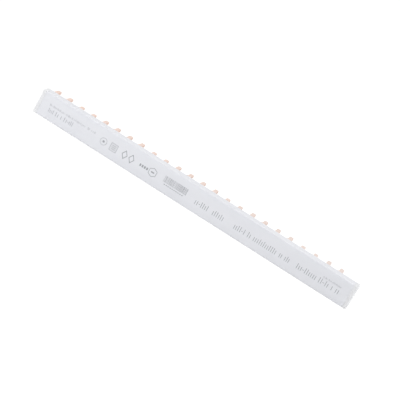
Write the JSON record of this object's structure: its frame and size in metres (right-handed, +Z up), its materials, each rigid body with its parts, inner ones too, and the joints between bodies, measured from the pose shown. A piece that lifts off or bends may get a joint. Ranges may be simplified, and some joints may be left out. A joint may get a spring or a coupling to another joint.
{
  "type": "comb busbar",
  "caption": "Fork-type comb busbar: a copper comb with forks at one breaker's width apart, in a pale grey insulating profile with white end caps.",
  "frame": {"origin": "bottom centre of the whole busbar's bounding box", "axes": "+X along the profile, from the left end to the right end as seen from the printed face; +Y from the printed front face towards the fork tips; +Z up, from the profile's lower edge to its lip over the forks"},
  "size_m": [0.2232, 0.0186, 0.0158],
  "materials": {
    "profile_plastic": "satin",
    "copper": "satin",
    "cap_plastic": "satin"
  },
  "bodies": {
    "root": {"insulating_profile": "profile_plastic", "copper_comb": "copper", "end_cap_left": "cap_plastic", "end_cap_right": "cap_plastic"}
  },
  "joints": []
}
